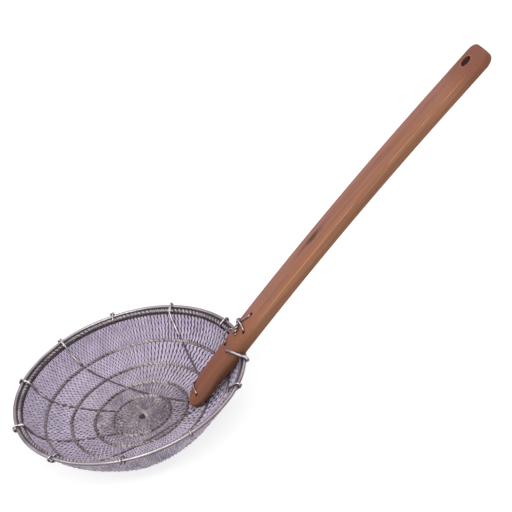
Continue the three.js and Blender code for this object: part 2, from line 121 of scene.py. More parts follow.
# Sideways waves of the net's wires in shares of the pitch, and where its wires run in pairs
SWAY = 0.255
SWAY_MORE = 0.045
SWAY_LAG = 0.8
SWAY_TOGETHER = 0.05
STRETCH_STRAY = 0.03
PHASE_STRAY = 0.5
PAIRED_AZIMUTHS = np.radians([28, 340])
PAIRED_SLOPE = 2.2
PAIRED_CUT = 1.2
PAIRED_IN_MIDDLE = 0.3
PAIRED_TOGETHER = 0.21
PAIRED_GAP = 0.22
PAIRED_CALM = 0.17

# Knot: radii and heights of its foot, and the short wires that run out of it over the net
KNOT_PROFILE = [
    (0.2, 0.0), (3.6, 0.0), (4.6, 0.5), (4.7, 2.2), (4.1, 3.1), (3.1, 2.9), (2.3, 1.6), (0.2, 1.3),
]
KNOT_STEPS = 32
RADIAL_WIRES = 22
RADIAL_RADIUS = 0.42
RADIAL_STEPS = 12
RADIAL_SIDES = 6
RADIAL_STRAY = 0.3
RADIAL_REACH = (8.0, 13.0)
RADIAL_TWIST = (0.05, 0.3)
RADIAL_FROM = [4.5, 5.2, 6.8]
RADIAL_LIFTS = np.array([-0.8, 0.7, 1.0, 0.4])

# Wires gathered beside the knot: places over the innermost band, and how many lie side by side
GATHER_PATH = np.array([(0.2, 20.5), (0.9, 14.0), (2.2, 7.0), (3.6, 0.5), (4.2, -4.0), (5.4, -7.0)])
GATHER_LIFTS = np.array([0.2, 0.9, 1.3, 1.6, 1.2, -0.6])
GATHER_WIRES = 3
GATHER_PITCH = 1.0
GATHER_STRAY = 0.25
GATHER_RADIUS = 0.42
GATHER_STEPS = 40
GATHER_SIDES = 7

# Ropes of two twisted wires: length of a turn, then offset, radius and sides of each wire
HOOP_TWIST, HOOP_WIRES = 5.6, (1.1, 0.76, 7)
INNER_TWIST, INNER_WIRES = 4.4, (1.25, 0.68, 7)
SHADE_LASHING_TWIST, SHADE_LASHING_WIRES = 9.0, (0.6, 0.45, 6)
HOOP_LIFT = 0.25
ROPE_STEPS = 12

# Their cores, painted dark as the shade between the twisted wires: radius, sides, and how many
# steps of the rope make one of the core
HOOP_CORE = 1.5
INNER_CORE = 1.3
INNER_SIDES = 10
HOOP_STRIDE = 4
SHADE_LASHING_STRIDE = 3

# How the ropes' twist and thickness vary: waves and swing, and share of the thickness
ROPE_WAVES = [(5, 0.7), (9, 0.6), (17, 0.5), (31, 0.35)]
ROPE_SWELL = 0.08

# Painted shade between the rims and below the inner one, as dark twisted wire: radius, drop from
# that rim and core
SHADE_LASHINGS = [(117.3, -0.6, 1.15), (112.9, 2.2, 0.8)]

# Ties round both rims
TIE_AZIMUTHS = np.radians([13.5, 50, 82, 112, 144, 179, 213.5, 250, 284, 318.5])
TIE_RADIUS = 1.1
TIE_GAP = 0.15
TIE_PROUD = 0.25
TIE_TURNS = [1.05, 1.15]
TIE_START = 0.05
TIE_STEPS = 40
TIE_PITCH = 2.6
TIE_LEAN = 1.5

# Stays: their lifts over the bowl, and the radii between which these change
FAN_TIES = [3, 4, 5, 6, 7]
SIDE_TIES = [1, 9]
STAY_RADIUS = 1.15
STAY_STEPS = 220
STAY_START = INNER_RIM_RADIUS - 1.6
STAY_OVER_LIFT = 1.9
STAY_NET_LIFT = 0.75
STAY_WEAVE = 0.45
STAY_WEAVE_LENGTH = 8.5
STAY_SINKS = (103.0, 98.0)
STAY_RIM_LIFT = 1.6
STAY_RISES = (110.0, 113.3)
STAY_UNDER_HOOP = -1.4
STAY_HOOP_REACH = 1.4
STAY_UNDER_NET = -2.6
STAY_DIVE = 3.0
STAY_OVER_FLOOR = 0.05
STAY_OVER_RIM = [(118.0, 3.9), (114.9, 3.0), (112.2, 1.3)]
STAY_POINT_STEP = 6

# Ties whose stays go under the net, and the radius from where
HIDDEN_STAYS = {4: 30.2, 5: 30.2, 7: 96.8, 9: 110.0}

# Where stays end under the tongue: spread round a place, some moved on, and those at its sides
FAN_CENTRE = (57.07, -26.2)
FAN_RADIUS = 6.0
FAN_SHIFTS = {6: (0.0, -4.5)}
SIDE_ENDS = [(69.66, -11.2), (69.66, -30.6)]

# Bamboo handle in its own frame: x along it from the tip, y to the left, z out of the top face
HANDLE_TIP = (44.48, -20.9, 12.93)
HANDLE_TURN = Matrix.Rotation(-math.radians(32.92), 4, "Y")
HANDLE_LENGTH = 457.0
HANDLE_WIDTH = 32.0
TONGUE_WIDTH = 29.0
HANDLE_THICKNESS = 10.5
TIP_THICKNESS = 4.4
HANDLE_BOW = 6.9
END_STRAIGHT = 60.0
TONGUE_WIDENS = (40.0, 117.0)
TONGUE_THINS_FROM = 72.0
TIP_SKEW = -7.0
TIP_CUT = 2.8
TIP_ROUND = (29.0, 14.0)
TIP_FLARE = 3.0
TIP_FLARE_ENDS = (22.0, 44.0)
END_ROUND = (8.5, 13.0)
HANDLE_EDGE = 1.7
RIGHT_EDGE = 6.0
EDGE_ROOM = 2.2
HANDLE_CROWN = 0.35
SHARP_ANGLE = math.radians(38)

# Rings of its mesh: steps of edges and faces, numbers at the ends, spacing and inset caps
FILLET_STEPS = 6
FACE_STEPS = 7
TIP_RINGS = 22
END_RINGS = 14
RING_GAP = 1.5
RING_STEP = 1.9
CAP_DEPTH = 0.15
TIP_INSET = 0.2
END_INSET = 0.8

# Dark marks on the handle's top face: place along it, to the left, half lengths and depth of tone
SCARS = [
    (210.5, 4.9, 12.0, 4.0, 0.8),
    (209.0, 5.2, 33.0, 2.6, 0.5),
    (222.0, 1.6, 5.0, 2.2, 0.25),
    # The marks below, as deep as 0.9 and more, are painted shade where wires go into the wood and
    # beside them
    (85.0, 3.6, 2.2, 1.3, 0.9),
    (20.4, 10.2, 3.8, 2.6, 0.97),
    (14.4, -6.4, 2.4, 2.6, 0.97),
    (111.8, 4.0, 2.8, 2.4, 0.97),
    (94.2, -5.0, 2.6, 2.8, 0.97),
    (70.6, 7.4, 2.6, 2.6, 0.97),
]
SCAR_TONE = (64, 38, 32)
HOLLOW_SHADE_TONE = (30, 13, 9)

# Depth from which a mark is painted shade in a hollow, with no sheen, and how ragged the fibres
# make its edge
SHADE_MARK_DEPTH = 0.9
SCAR_RAGGED = 2.2
SCAR_EDGE = (1.0, 0.15)
SCAR_FACING = (0.35, 0.8)

# Bores in the handle: place along it, to the left, diameter across and along
HANG_HOLE = (437.0, 4.4, 9.8, 12.2)
WIRE_BORES = [
    (68.0, -2.2, 3.4, 3.4),
    (15.0, -5.3, 2.2, 2.2),
    (110.0, 4.6, 2.4, 2.4),
    (95.5, -2.9, 2.4, 2.4),
    (72.0, 8.6, 2.2, 2.2),
]
BORE_EASE = 0.35
BORE_EASE_DEPTH = 0.525
BORE_CLEAR = 3.0
BORE_STEPS = 36

# Wires on the tongue: names of piece and node, gap, turns and size of a twisted pair, and places
BINDING_RADIUS = 0.95
BINDING_STEPS = 60
BINDING_SIDES = 10
TWISTED_STEPS = 80
BINDINGS = [
    ("upper", "upper", None, [
        (110, 4.6, -9), (110, 4.6, -1), (109.2, 4.3, 0.9), (105.7, 5.6, 1.1), (100.7, 8.4, 1.1),
        (97.4, 11.4, 0.9), (95.8, 14.0, 0.8), (95.2, 15.9, -0.9), (95, 16.3, -4), (95, 16.2, -10),
    ]),
    ("pigtail", "upper", (1.0, 2.2, 1.0), [
        (98.4, 14.0, 2.3), (96.6, 11.6, 2.2), (93.0, 8.4, 1.7), (88.7, 5.4, 1.6), (86.2, 4.4, 1.2),
        (85.2, 4.0, 0.2),
    ]),
    ("lower", "lower", None, [
        (95.5, -2.9, -9), (95.5, -2.9, -1), (95.8, -1.8, 1.0), (96.9, 3.6, 1.5), (97.7, 10.0, 3.4),
        (98.2, 14.4, 2.4), (98.6, 16.6, -0.4), (98.8, 16.9, -4), (98.8, 16.7, -10),
    ]),
    ("curl", "curl", (0.6, 1.6, 0.75), [
        (72, 8.6, -8), (72, 8.6, -1), (72.4, 9.4, 1.2), (73.3, 13.2, 1.4), (74.8, 17.6, 1.3),
        (78.4, 19.9, 1.0), (82.4, 18.8, 0.4), (85.2, 16.8, -1.2), (86.2, 16.0, -4.5),
        (86.2, 15.8, -10),
    ]),
    ("tip", "tip", None, [
        (15, -5.3, -5), (15, -5.3, -0.5), (15.4, -4.9, 0.8), (15.7, -2.6, 1.3), (15.9, 1.0, 1.4),
        (16.6, 5.6, 1.3), (17.7, 9.6, 0.8), (18.2, 11.4, 0.0), (18.4, 12.1, -1.8),
        (18.3, 11.9, -6),
    ]),
]

# Staple: over the handle, in the handle's frame, then hooked round the outer rim, in the part's
STAPLE_RADIUS = 1.7
STAPLE_STEPS = 100
STAPLE_SIDES = 12
STAPLE_ON_HANDLE = [
    (68, -2.2, -8), (68, -2.2, -1.2), (68.5, -3.2, 1.6), (70.4, -7.6, 1.9), (72.4, -12.6, 1.7),
]
STAPLE_HOOK = [
    (106.1, -38.8, 55.3), (108.6, -42.0, 54.4), (110.3, -44.6, 54.5), (111.8, -46.5, 53.9),
    (112.6, -48.0, 52.6), (113.2, -45.8, 49.4), (112.3, -43.0, 47.2), (110.6, -41.5, 45.9),
]

# Steel in general: share of grain, spans, sheen, relief, and how much rougher dull steel is
GRAIN_SHARE = 0.3
TARNISH_SPAN = (0.36, 0.66)
STEEL_SHEEN = 0.5
NET_SHEEN = 0.2
STEEL_RELIEF = (0.00008, 0.6)
DULL_ROUGHER = 0.14
# Painted shade on the undersides of steel: its colour, and the normal's height between which it
# grows from none to full
UNDERSIDE_SHADE_TONE = (46, 37, 42)
UNDERSIDE_SHADE_SPAN = (0.55, -0.5)

# Painted highlight on smooth wires: the direction that their highlit sides face, and its colour
HIGHLIGHT_SIDE = (-0.1, -0.55, 0.83)
HIGHLIGHT_TONE = (250, 246, 246)

# Net: streaks along single wires, painted shade on the left, and painted shade on wires where they
# face the inside, deeper by the handle
STREAK_CELLS = (1.0, 150.0, 1.0)
STREAK_SPAN = (0.3, 0.7)
LEFT_SHADE_SPAN = (-0.04, -0.1)
LEFT_SHADE_TINT = (0.87, 0.87, 0.87, 1)
INWARD_HEIGHT = 0.1
INWARD_SPAN = (-0.25, 0.3)
DEEP_SHADE_SPAN = (0.04, 0.08)
DEEP_SHADE_TONE = (114, 99, 120)

# Radii across which wires sunk in the net take on a painted shade
SUNK_SHADE_SPAN = (0.104, 0.097)

# Ropes: two pale sides along a line of this azimuth, partly wear and partly painted highlight, and
# painted shade on a part by the handle
PALE_SIDE_AZIMUTH = math.radians(62)
PALE_SIDE_COSINES = (0.82, 0.95)
PALE_PATCH_CELLS = (30.0,) * 3
PALE_PATCH_SPAN = (0.32, 0.5)
SHADED_X = (0.078, 0.1)
SHADED_Y = (0.0, -0.02)
SHADED_TONE = (88, 76, 83)
SHADED_SHARE = 0.7

# Bright and dull colour of each band of the net, and what these looks share
NET_LOOK = dict(metallic=0.05, roughness=0.55, patch=70, grain=700)
NET_TONES = [
    ((214, 201, 210), (110, 98, 106)),
    ((226, 213, 227), (143, 130, 143)),
    ((234, 221, 239), (188, 175, 193)),
    ((236, 224, 245), (196, 183, 204)),
    ((236, 224, 246), (192, 179, 200)),
]
# Other steel looks: bright and dull colour, how metallic, roughness, and what else each has
STEELS = {
    # Net backs: the bright tone of their outer faces is set lighter than the front wires' as
    # painted light, and the inside tone is painted shade
    "net_back": (
        (250, 240, 253), (160, 143, 165), 0.05, 0.5,
        dict(grain=480, inside=(130, 115, 137), wires=NET_WIRES[4]),
    ),
    # Painted shade: near-black steel for the gap between the rims and the knot's hollow
    "painted_shade_steel": ((56, 45, 51), (38, 31, 35), 0.2, 0.5, {}),
    # Dark cores: painted shade between the twisted wires round them
    "hoop_core_shade": ((80, 68, 73), (56, 46, 51), 0.2, 0.5, dict(wear_and_highlight=(136, 124, 126))),
    "rim_core_shade": ((82, 70, 75), (58, 48, 53), 0.2, 0.45, dict(wear_and_highlight=(112, 100, 104))),
    "hoop_strand": (
        (164, 150, 156), (116, 103, 109), 0.3, 0.3, dict(patch=45, underside_shade=0.3, wear_and_highlight=(214, 203, 200))
    ),
    "rim_strand": (
        (182, 170, 174), (122, 109, 115), 0.4, 0.22, dict(underside_shade=0.75, wear_and_highlight=(188, 177, 180))
    ),
    "rim_smooth": ((152, 138, 149), (118, 105, 115), 0.5, 0.16, dict(underside_shade=0.9, painted_highlight=0.42)),
    "tie_steel": ((150, 137, 143), (104, 92, 98), 0.6, 0.13, dict(underside_shade=0.9, painted_highlight=0.6)),
    "knot_strand": ((204, 192, 194), (82, 70, 76), 0.3, 0.3, dict(patch=300, underside_shade=0.5)),
    "cream_steel": ((226, 216, 212), (170, 158, 160), 0.3, 0.25, {}),
    "dark_steel": ((138, 124, 130), (94, 82, 88), 0.6, 0.14, dict(underside_shade=0.85, painted_highlight=0.42)),
    "stay_steel": (
        (160, 147, 153), (114, 101, 107), 0.45, 0.18,
        dict(underside_shade=0.6, painted_highlight=0.6, highlight_cosines=(0.68, 0.84), sunk_shade=(96, 83, 90)),
    ),
}

# Bamboo's sheen and relief, a tone round the hanging hole and painted shade in it: span, share and
# colour
BAMBOO_SHEEN = 0.35
BAMBOO_ROUGHNESS = (0.45, 0.65)
BAMBOO_RELIEF = (0.0003, 0.5)
PORE_DEPTH = -0.5
HOLE_RING_AND_SHADE_TONES = [((1.9, 1.0), 0.45, (178, 122, 104)), ((1.1, 0.98), 0.92, (52, 28, 20))]

# Camera, fitted to the photograph
CAMERA_PLACE = (-94.6, -1220.3, 936.5)
CAMERA_RIGHT = (0.9057, -0.3489, -0.2406)
CAMERA_UP = (0.3874, 0.4512, 0.804)
CAMERA_BACK = (-0.1719, -0.8214, 0.5438)
CAMERA_LENS = 105.47
CAMERA_SENSOR = 36

# Floor, sky and lamps: place, target, width, depth and power of each lamp
WHITE = (1, 1, 1, 1)
FLOOR_REACH = 6.0
FLOOR_HEIGHT = -0.0004
FLOOR_GREY = (0.4, 0.4, 0.4, 1)
FLOOR_GLOW = 0.77
SKY_STRENGTH = 0.44
LAMPS = {
    "key": ((-0.2, -1.1, 1.6), (0.05, 0, 0.05), 1.8, 0.45, 14),
    "front": ((-0.15, -1.5, 0.3), (0.0, 0, 0.04), 1.4, 0.4, 5),
    "fill": ((0.9, 0.9, 1.5), (0.1, 0, 0.1), 1.2, 1.2, 7),
    "left": ((-1.1, 0.35, 0.8), (0.08, -0.04, 0.03), 1.0, 0.8, 3.2),
}


# Shader nodes

def srgb(red, green, blue):
    """A colour given as display values from 0 to 255, as the linear one that a shader takes."""
    shares = np.array([red, green, blue]) / 255
    linear = np.where(shares <= 0.04045, shares / 12.92, ((shares + 0.055) / 1.055) ** 2.4)
    return (*linear.tolist(), 1.0)


class Nodes:
    """Nodes of a material or a world, with values or other nodes' outputs as their inputs."""

    def __init__(self, owner):
        owner.use_nodes = True
        self.tree = owner.node_tree
        self.tree.nodes.clear()

    def feed(self, made, inputs):
        for key, value in inputs.items():
            if isinstance(value, bpy.types.NodeSocket):
                self.tree.links.new(value, made.inputs[key])
            else:
                made.inputs[key].default_value = value

    def add(self, kind, inputs=None, **props):
        made = self.tree.nodes.new("ShaderNode" + kind)
        for key, value in props.items():
            setattr(made, key, value)
        self.feed(made, inputs or {})
        return made

    def maths(self, operation, a, b=0.0):
        return self.add("Math", {0: a, 1: b}, operation=operation).outputs[0]

    plus = partialmethod(maths, "ADD")
    minus = partialmethod(maths, "SUBTRACT")
    times = partialmethod(maths, "MULTIPLY")

    def squares(self, a, b):
        return self.plus(self.times(a, a), self.times(b, b))

    def vector(self, operation, *inputs):
        made = self.add("VectorMath", dict(enumerate(inputs)), operation=operation)
        return made.outputs["Value" if operation == "DOT_PRODUCT" else "Vector"]

    def ranged(self, share, low, high):
        made = self.add("MapRange", {"Value": share, "To Min": low, "To Max": high})
        return made.outputs["Result"]

    def span(self, value, none, full):
        """0 to 1 between two values, smoothly rising or falling."""
        inputs = {"Value": value, "From Min": none, "From Max": full}
        made = self.add("MapRange", inputs, interpolation_type="SMOOTHSTEP")
        return made.outputs["Result"]

    def within(self, value, middle, half):
        """1 at the middle of a stretch, fading to 0 at its ends."""
        return self.span(self.maths("ABSOLUTE", self.minus(value, middle)), half, 0.0)

    def blend(self, share, a, b, how="MIX"):
        inputs = {0: share, 6: a, 7: b}
        return self.add("Mix", inputs, data_type="RGBA", blend_type=how).outputs[2]

    def over(self, tone, colour, share, strength=1.0):
        """A colour, as display values or another node's output, laid over a tone."""
        if not isinstance(colour, bpy.types.NodeSocket):
            colour = srgb(*colour)
        return self.blend(self.times(share, strength), tone, colour)

    def noise(self, vector, cells, detail=2.0, roughness=0.55):
        """Noise over a place in metres, with its cells per metre along each axis."""
        place = self.add("Mapping", {"Vector": vector, "Scale": cells}).outputs[0]
        inputs = {"Vector": place, "Scale": 1.0, "Detail": detail, "Roughness": roughness}
        return self.add("TexNoise", inputs).outputs["Fac"]

    def bump(self, height, distance, strength):
        inputs = {"Height": height, "Distance": distance, "Strength": strength}
        return self.add("Bump", inputs).outputs[0]

    def surface(self):
        """Place and normal in the piece's own frame, and both by their axes."""
        coords = self.add("TexCoord").outputs
        vectors = [coords["Object"], coords["Normal"]]
        return vectors + [self.add("SeparateXYZ", {0: v}).outputs for v in vectors]

    def seen_directly(self):
        """1 on rays that show the background as it is: camera, mirror and see-through ones."""
        rays = self.add("LightPath").outputs
        shown = self.maths("MAXIMUM", rays["Is Camera Ray"], rays["Is Glossy Ray"])
        return self.maths("MAXIMUM", shown, rays["Is Transmission Ray"])


def new_material(name):
    material = bpy.data.materials.new(name)
    nodes = Nodes(material)
    shader = nodes.add("BsdfPrincipled")
    nodes.add("OutputMaterial", {"Surface": shader.outputs[0]})
    return material, nodes, shader


def steel_material(
    name, bright, dull, metallic, roughness, patch=60.0, grain=1400.0, underside_shade=0.0, inside=None,
    wear_and_highlight=None, wires=0, painted_highlight=0.0, highlight_cosines=(0.84, 0.985), sunk_shade=None,
):
    """Drawn wire in a bright and a dull colour, in patches, with fine scratches.

    Painted shade darkens undersides, and a painted highlight brightens sides that face one way
    within a range of cosines. Other colours cover what faces the bowl's inside and what is sunk in
    the net, both painted shade, and a rope's two pale sides, partly wear and partly painted
    highlight. A number of wires round the bowl gives each of them a tone of its own, with painted
    shade on the bowl's left.
    """
    material, nodes, shader = new_material(name)
    maths, vector = nodes.maths, nodes.vector
    span, times, over = nodes.span, nodes.times, nodes.over
    place, normal, axes, facing = nodes.surface()
    tarnish = nodes.noise(place, (patch,) * 3, detail=3.0)
    fine = nodes.noise(place, (grain,) * 3)
    mixed = nodes.plus(times(tarnish, 1 - GRAIN_SHARE), times(fine, GRAIN_SHARE))
    share = span(mixed, *TARNISH_SPAN)
    across = maths("SQRT", nodes.squares(axes[0], axes[1]))
    if wires:
        around = times(maths("ARCTAN2", axes[1], axes[0]), wires / (2 * math.pi))
        unrolled = nodes.add("CombineXYZ", {0: around, 1: across}).outputs[0]
        streaks = span(nodes.noise(unrolled, STREAK_CELLS), *STREAK_SPAN)
        share = times(nodes.plus(share, streaks), 0.5)
    tone = nodes.blend(share, srgb(*bright), srgb(*dull))
    if wires:
        # Painted shade on the bowl's left
        tone = nodes.blend(span(axes[0], *LEFT_SHADE_SPAN), tone, LEFT_SHADE_TINT, "MULTIPLY")
    # Pale patches on two sides, partly wear and partly painted highlight, then painted shade by the
    # handle
    if wear_and_highlight:
        patches = span(nodes.noise(place, PALE_PATCH_CELLS), *PALE_PATCH_SPAN)
        line = (math.cos(PALE_SIDE_AZIMUTH), math.sin(PALE_SIDE_AZIMUTH), 0.0)
        along = maths("ABSOLUTE", vector("DOT_PRODUCT", place, line))
        cosine = maths("DIVIDE", along, maths("MAXIMUM", across, MM))
        tone = over(tone, wear_and_highlight, patches, span(cosine, *PALE_SIDE_COSINES))
        shaded = times(span(axes[0], *SHADED_X), span(axes[1], *SHADED_Y))
        tone = over(tone, SHADED_TONE, shaded, SHADED_SHARE)
    # Painted shade on what faces the bowl's inside, deeper by the handle
    if inside:
        inward = vector("MULTIPLY_ADD", place, (-1.0, -1.0, 0.0), (0.0, 0.0, INWARD_HEIGHT))
        cosine = vector("DOT_PRODUCT", vector("NORMALIZE", inward), normal)
        deep = over(srgb(*inside), DEEP_SHADE_TONE, span(axes[0], *DEEP_SHADE_SPAN))
        tone = over(tone, deep, span(cosine, *INWARD_SPAN))
    # Painted shade on the undersides
    if underside_shade:
        tone = over(tone, UNDERSIDE_SHADE_TONE, span(facing[2], *UNDERSIDE_SHADE_SPAN), underside_shade)
    # Painted highlight on the sides that face one way
    if painted_highlight:
        cosine = vector("DOT_PRODUCT", normal, HIGHLIGHT_SIDE)
        tone = over(tone, HIGHLIGHT_TONE, span(cosine, *highlight_cosines), painted_highlight)
    # Painted shade on what is sunk in the net
    if sunk_shade:
        tone = over(tone, sunk_shade, span(across, *SUNK_SHADE_SPAN))
    nodes.feed(shader, {
        "Base Color": tone,
        "Metallic": metallic,
        "Specular IOR Level": NET_SHEEN if wires else STEEL_SHEEN,
        "Roughness": nodes.ranged(share, roughness, roughness + DULL_ROUGHER),
        "Normal": nodes.bump(fine, *STEEL_RELIEF),
    })
    return material


def bamboo_material():
    """Reddish bamboo: fibres along it, a mauve left edge that is a painted reflection, an olive
    right side, a pale arris that is a painted highlight, and painted shade at its end, by the
    tongue and in hollows.
    """
    material, nodes, shader = new_material("bamboo")
    noise, span, times, over = nodes.noise, nodes.span, nodes.times, nodes.over
    place, _, (along, left, _), facing = nodes.surface()
    fibre = noise(place, (9.0, 620.0, 620.0), detail=5.0, roughness=0.62)
    streak = noise(place, (2.4, 130.0, 130.0), detail=3.0)
    cloud = noise(place, (17.0, 36.0, 36.0))
    pores = noise(place, (70.0, 1700.0, 1700.0))
    thread = noise(place, (5.0, 1100.0, 1100.0), detail=3.0)

    def oval(x, y, half_along, half_across):
        """Square of the distance from an oval's middle, 1 at its edge."""
        return nodes.squares(
            nodes.maths("DIVIDE", nodes.minus(along, x * MM), half_along * MM),
            nodes.maths("DIVIDE", nodes.minus(left, y * MM), half_across * MM),
        )

    tongue = span(along, 0.13, 0.07)
    middle = times(nodes.within(left, -0.002, 0.008), span(streak, 0.4, 0.62))
    # Painted highlight along the arris
    arris_highlight = times(nodes.within(left, -0.0122, 0.0013), span(cloud, 0.36, 0.56))
    olive = nodes.blend(span(fibre, 0.35, 0.65), srgb(154, 105, 75), srgb(120, 81, 57))
    hang = oval(HANG_HOLE[0], HANG_HOLE[1], HANG_HOLE[3] / 2, HANG_HOLE[2] / 2)

    # Tones laid one over another: where, how strongly and in which colour
    layers = {
        "clouds": (span(cloud, 0.42, 0.72), 0.75, (163, 102, 72)),
        "fibres": (span(fibre, 0.5, 0.76), 0.45, (112, 66, 50)),
        "dark threads": (span(thread, 0.5, 0.68), 0.4, (116, 70, 54)),
        "pale threads": (span(thread, 0.5, 0.3), 0.3, (190, 138, 114)),
        "pores": (span(pores, 0.6, 0.75), 0.35, (92, 54, 43)),
        # Painted reflection on the left edge
        "left edge's painted reflection": (span(left, 0.003, 0.0155), 0.6, (158, 108, 103)),
        "right half": (span(left, -0.001, -0.009), 0.5, (161, 102, 64)),
        "right side": (span(facing[1], -0.2, -0.9), 0.8, olive),
        # Painted highlight along the arris
        "arris_highlight": (times(arris_highlight, span(along, 0.1, 0.14)), 0.6, (204, 150, 116)),
        "hanging end": (span(along, 0.395, 0.44), 0.85, (130, 75, 56)),
        # Painted shade on the rounded edge at the end
        "end edge's shade": (span(along, 0.4548, 0.4568), 0.6, (96, 62, 48)),
        "tongue": (span(along, 0.118, 0.05), 0.8, (122, 67, 43)),
        "tongue's middle": (times(middle, tongue), 0.7, (152, 89, 56)),
        "tongue's left": (times(span(left, 0.002, 0.01), tongue), 0.5, (142, 82, 68)),
        # Painted shade on the tongue's right
        "tongue's shaded right": (times(span(left, -0.007, -0.0165), tongue), 0.65, (106, 68, 40)),
    }
    tone = nodes.blend(span(streak, 0.32, 0.68), srgb(146, 91, 71), srgb(168, 114, 93))
    for share, strength, colour in layers.values():
        tone = over(tone, colour, share, strength)
    ragged = times(nodes.minus(fibre, 0.5), SCAR_RAGGED)
    upward = span(facing[2], *SCAR_FACING)
    hollow_shade = 0.0
    for *outline, depth in SCARS:
        mark = times(span(nodes.plus(oval(*outline), ragged), *SCAR_EDGE), upward)
        # Deep marks are painted shade, with no sheen
        tone = over(tone, SCAR_TONE if depth < SHADE_MARK_DEPTH else HOLLOW_SHADE_TONE, mark, depth)
        if depth >= SHADE_MARK_DEPTH:
            hollow_shade = nodes.maths("MAXIMUM", hollow_shade, mark)
    # A tone round the hanging hole, and painted shade in it
    for edge, strength, colour in HOLE_RING_AND_SHADE_TONES:
        tone = over(tone, colour, span(hang, *edge), strength)
    nodes.feed(shader, {
        "Base Color": tone,
        "Roughness": nodes.ranged(fibre, *BAMBOO_ROUGHNESS),
        "Specular IOR Level": nodes.ranged(hollow_shade, BAMBOO_SHEEN, 0.0),
        "Normal": nodes.bump(nodes.plus(fibre, times(pores, PORE_DEPTH)), *BAMBOO_RELIEF),
    })
    return material


# Meshes, made as vertices in millimetres and faces

def add_object(name, data):
    made = bpy.data.objects.new(name, data)
    bpy.context.scene.collection.objects.link(made)
    return made


def new_mesh(name, shape, material=None):
    verts, faces = shape
    mesh = bpy.data.meshes.new(name)
    mesh.from_pydata((verts * MM).tolist(), [], faces)
    if material:
        mesh.materials.append(material)
    return mesh


def add_piece(name, shape, material, slot, *nodes):
    """A smooth mesh as a piece that stands for CAD nodes."""
    mesh = new_mesh(name, shape, material)
    mesh.shade_smooth()
    piece = add_object(name, mesh)
    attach(piece, BODY)
    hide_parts(*nodes)


def unit(vectors):
    return vectors / np.linalg.norm(vectors, axis=-1, keepdims=True)


def square_to(vectors, along):
    return unit(vectors - along * np.sum(vectors * along, axis=-1, keepdims=True))


def directions(paths, closed):
    if closed:
        return unit(np.roll(paths, -1, axis=1) - np.roll(paths, 1, axis=1))
    return unit(np.gradient(paths, axis=1))


def carried(along):
    """Normals carried along each path with no twist."""
    first = along[:, 0]
    normals = [unit(np.cross(first, np.eye(3)[np.argmin(np.abs(first), axis=1)]))]
    for ahead in along.swapaxes(0, 1):
        normals.append(square_to(normals[-1], ahead))
    return np.stack(normals[1:], axis=1)


def turned(up, side, angle):
    """Directions turned by angles from one direction towards another."""
    return up * np.cos(angle)[:, None] + side * np.sin(angle)[:, None]


def azimuths(steps):
    return 2 * np.pi * np.arange(steps) / steps


def skin(rings, closed=False):
    """Vertices and faces of tubes given by their rings of points, closed in a loop or capped."""
    index = np.arange(rings[..., 0].size).reshape(rings.shape[:3])
    ahead = np.roll(index, -1, axis=1) if closed else index[:, 1:]
    here = index if closed else index[:, :-1]
    quads = [here, np.roll(here, -1, axis=2), np.roll(ahead, -1, axis=2), ahead]
    faces = np.stack(quads, axis=-1).reshape(-1, 4).tolist()
    if not closed:
        faces += index[:, 0, ::-1].tolist() + index[:, -1].tolist()
    return rings.reshape(-1, 3), faces


def tubes(paths, radius, sides, closed=False, normals=None, flat=1.0):
    """Round or flattened wires, one for each path, all with as many points."""
    if paths.ndim == 2:
        paths = paths[None]
    along = directions(paths, closed)
    up = carried(along) if normals is None else square_to(normals, along)
    ring = turned(flat * up[:, :, None], np.cross(along, up)[:, :, None], azimuths(sides))
    size = np.broadcast_to(radius, paths.shape[:2])[:, :, None, None]
    return skin(paths[:, :, None] + ring * size, closed)


def joined(parts):
    """Several lots of vertices and faces as one."""
    verts, faces, offset = [], [], 0
    for part_verts, part_faces in parts:
        verts.append(part_verts)
        faces += [[i + offset for i in face] for face in part_faces]
        offset += len(part_verts)
    return np.concatenate(verts), faces


def lengths(points):
    """Length run along a line to each of its points."""
    return np.concatenate([[0], np.cumsum(np.linalg.norm(np.diff(points, axis=0), axis=1))])


def spline(points, count, steps=24):
    """Points spaced evenly on a smooth curve through the given ones."""
    points = np.asarray(points, float)
    ends = np.vstack([2 * points[0] - points[1], points, 2 * points[-1] - points[-2]])
    t = np.linspace(0, 1, steps, endpoint=False)[:, None]
    dense = [
        0.5 * (2 * p1 + (p2 - p0) * t + (2 * p0 - 5 * p1 + 4 * p2 - p3) * t**2
               + (3 * p1 - p0 - 3 * p2 + p3) * t**3)
        for p0, p1, p2, p3 in zip(ends, ends[1:], ends[2:], ends[3:])
    ]
    dense = np.vstack([*dense, points[-1:]])
    length = lengths(dense)
    at = np.linspace(0, length[-1], count)
    return np.stack([np.interp(at, length, dense[:, axis]) for axis in range(3)], axis=1)


def mix(a, b, share):
    return a + np.subtract(b, a) * share


def ramp(value, none, full):
    """0 to 1 between two values, rising or falling."""
    return np.clip((value - none) / (full - none), 0, 1)


def smoothstep(value, none, full):
    share = ramp(value, none, full)
    return share * share * (3 - 2 * share)


def polar(radius, azimuth, height=0.0):
    """Places or directions by their radius, azimuth and height."""
    axes = radius * np.cos(azimuth), radius * np.sin(azimuth), height
    return np.stack(np.broadcast_arrays(*axes), axis=-1)


def ring_path(radius, height, steps):
    return polar(radius, azimuths(steps), height)


def lathe(profile, steps):
    """Rings of points of a profile turned about the z axis."""
    return np.stack([ring_path(radius, height, steps) for radius, height in profile])


def waves(azimuth, terms, which=1):
    return sum(depth * np.sin(count * azimuth + start * which) for depth, count, start in terms)


def bell(offset, reach):
    return np.exp(-((offset / reach) ** 2))


def hump(azimuth, middle, spread):
    """1 at an azimuth in degrees, falling off smoothly to both sides of it."""
    turn = (azimuth - math.radians(middle) + np.pi) % (2 * np.pi) - np.pi
    return bell(turn, math.radians(spread))


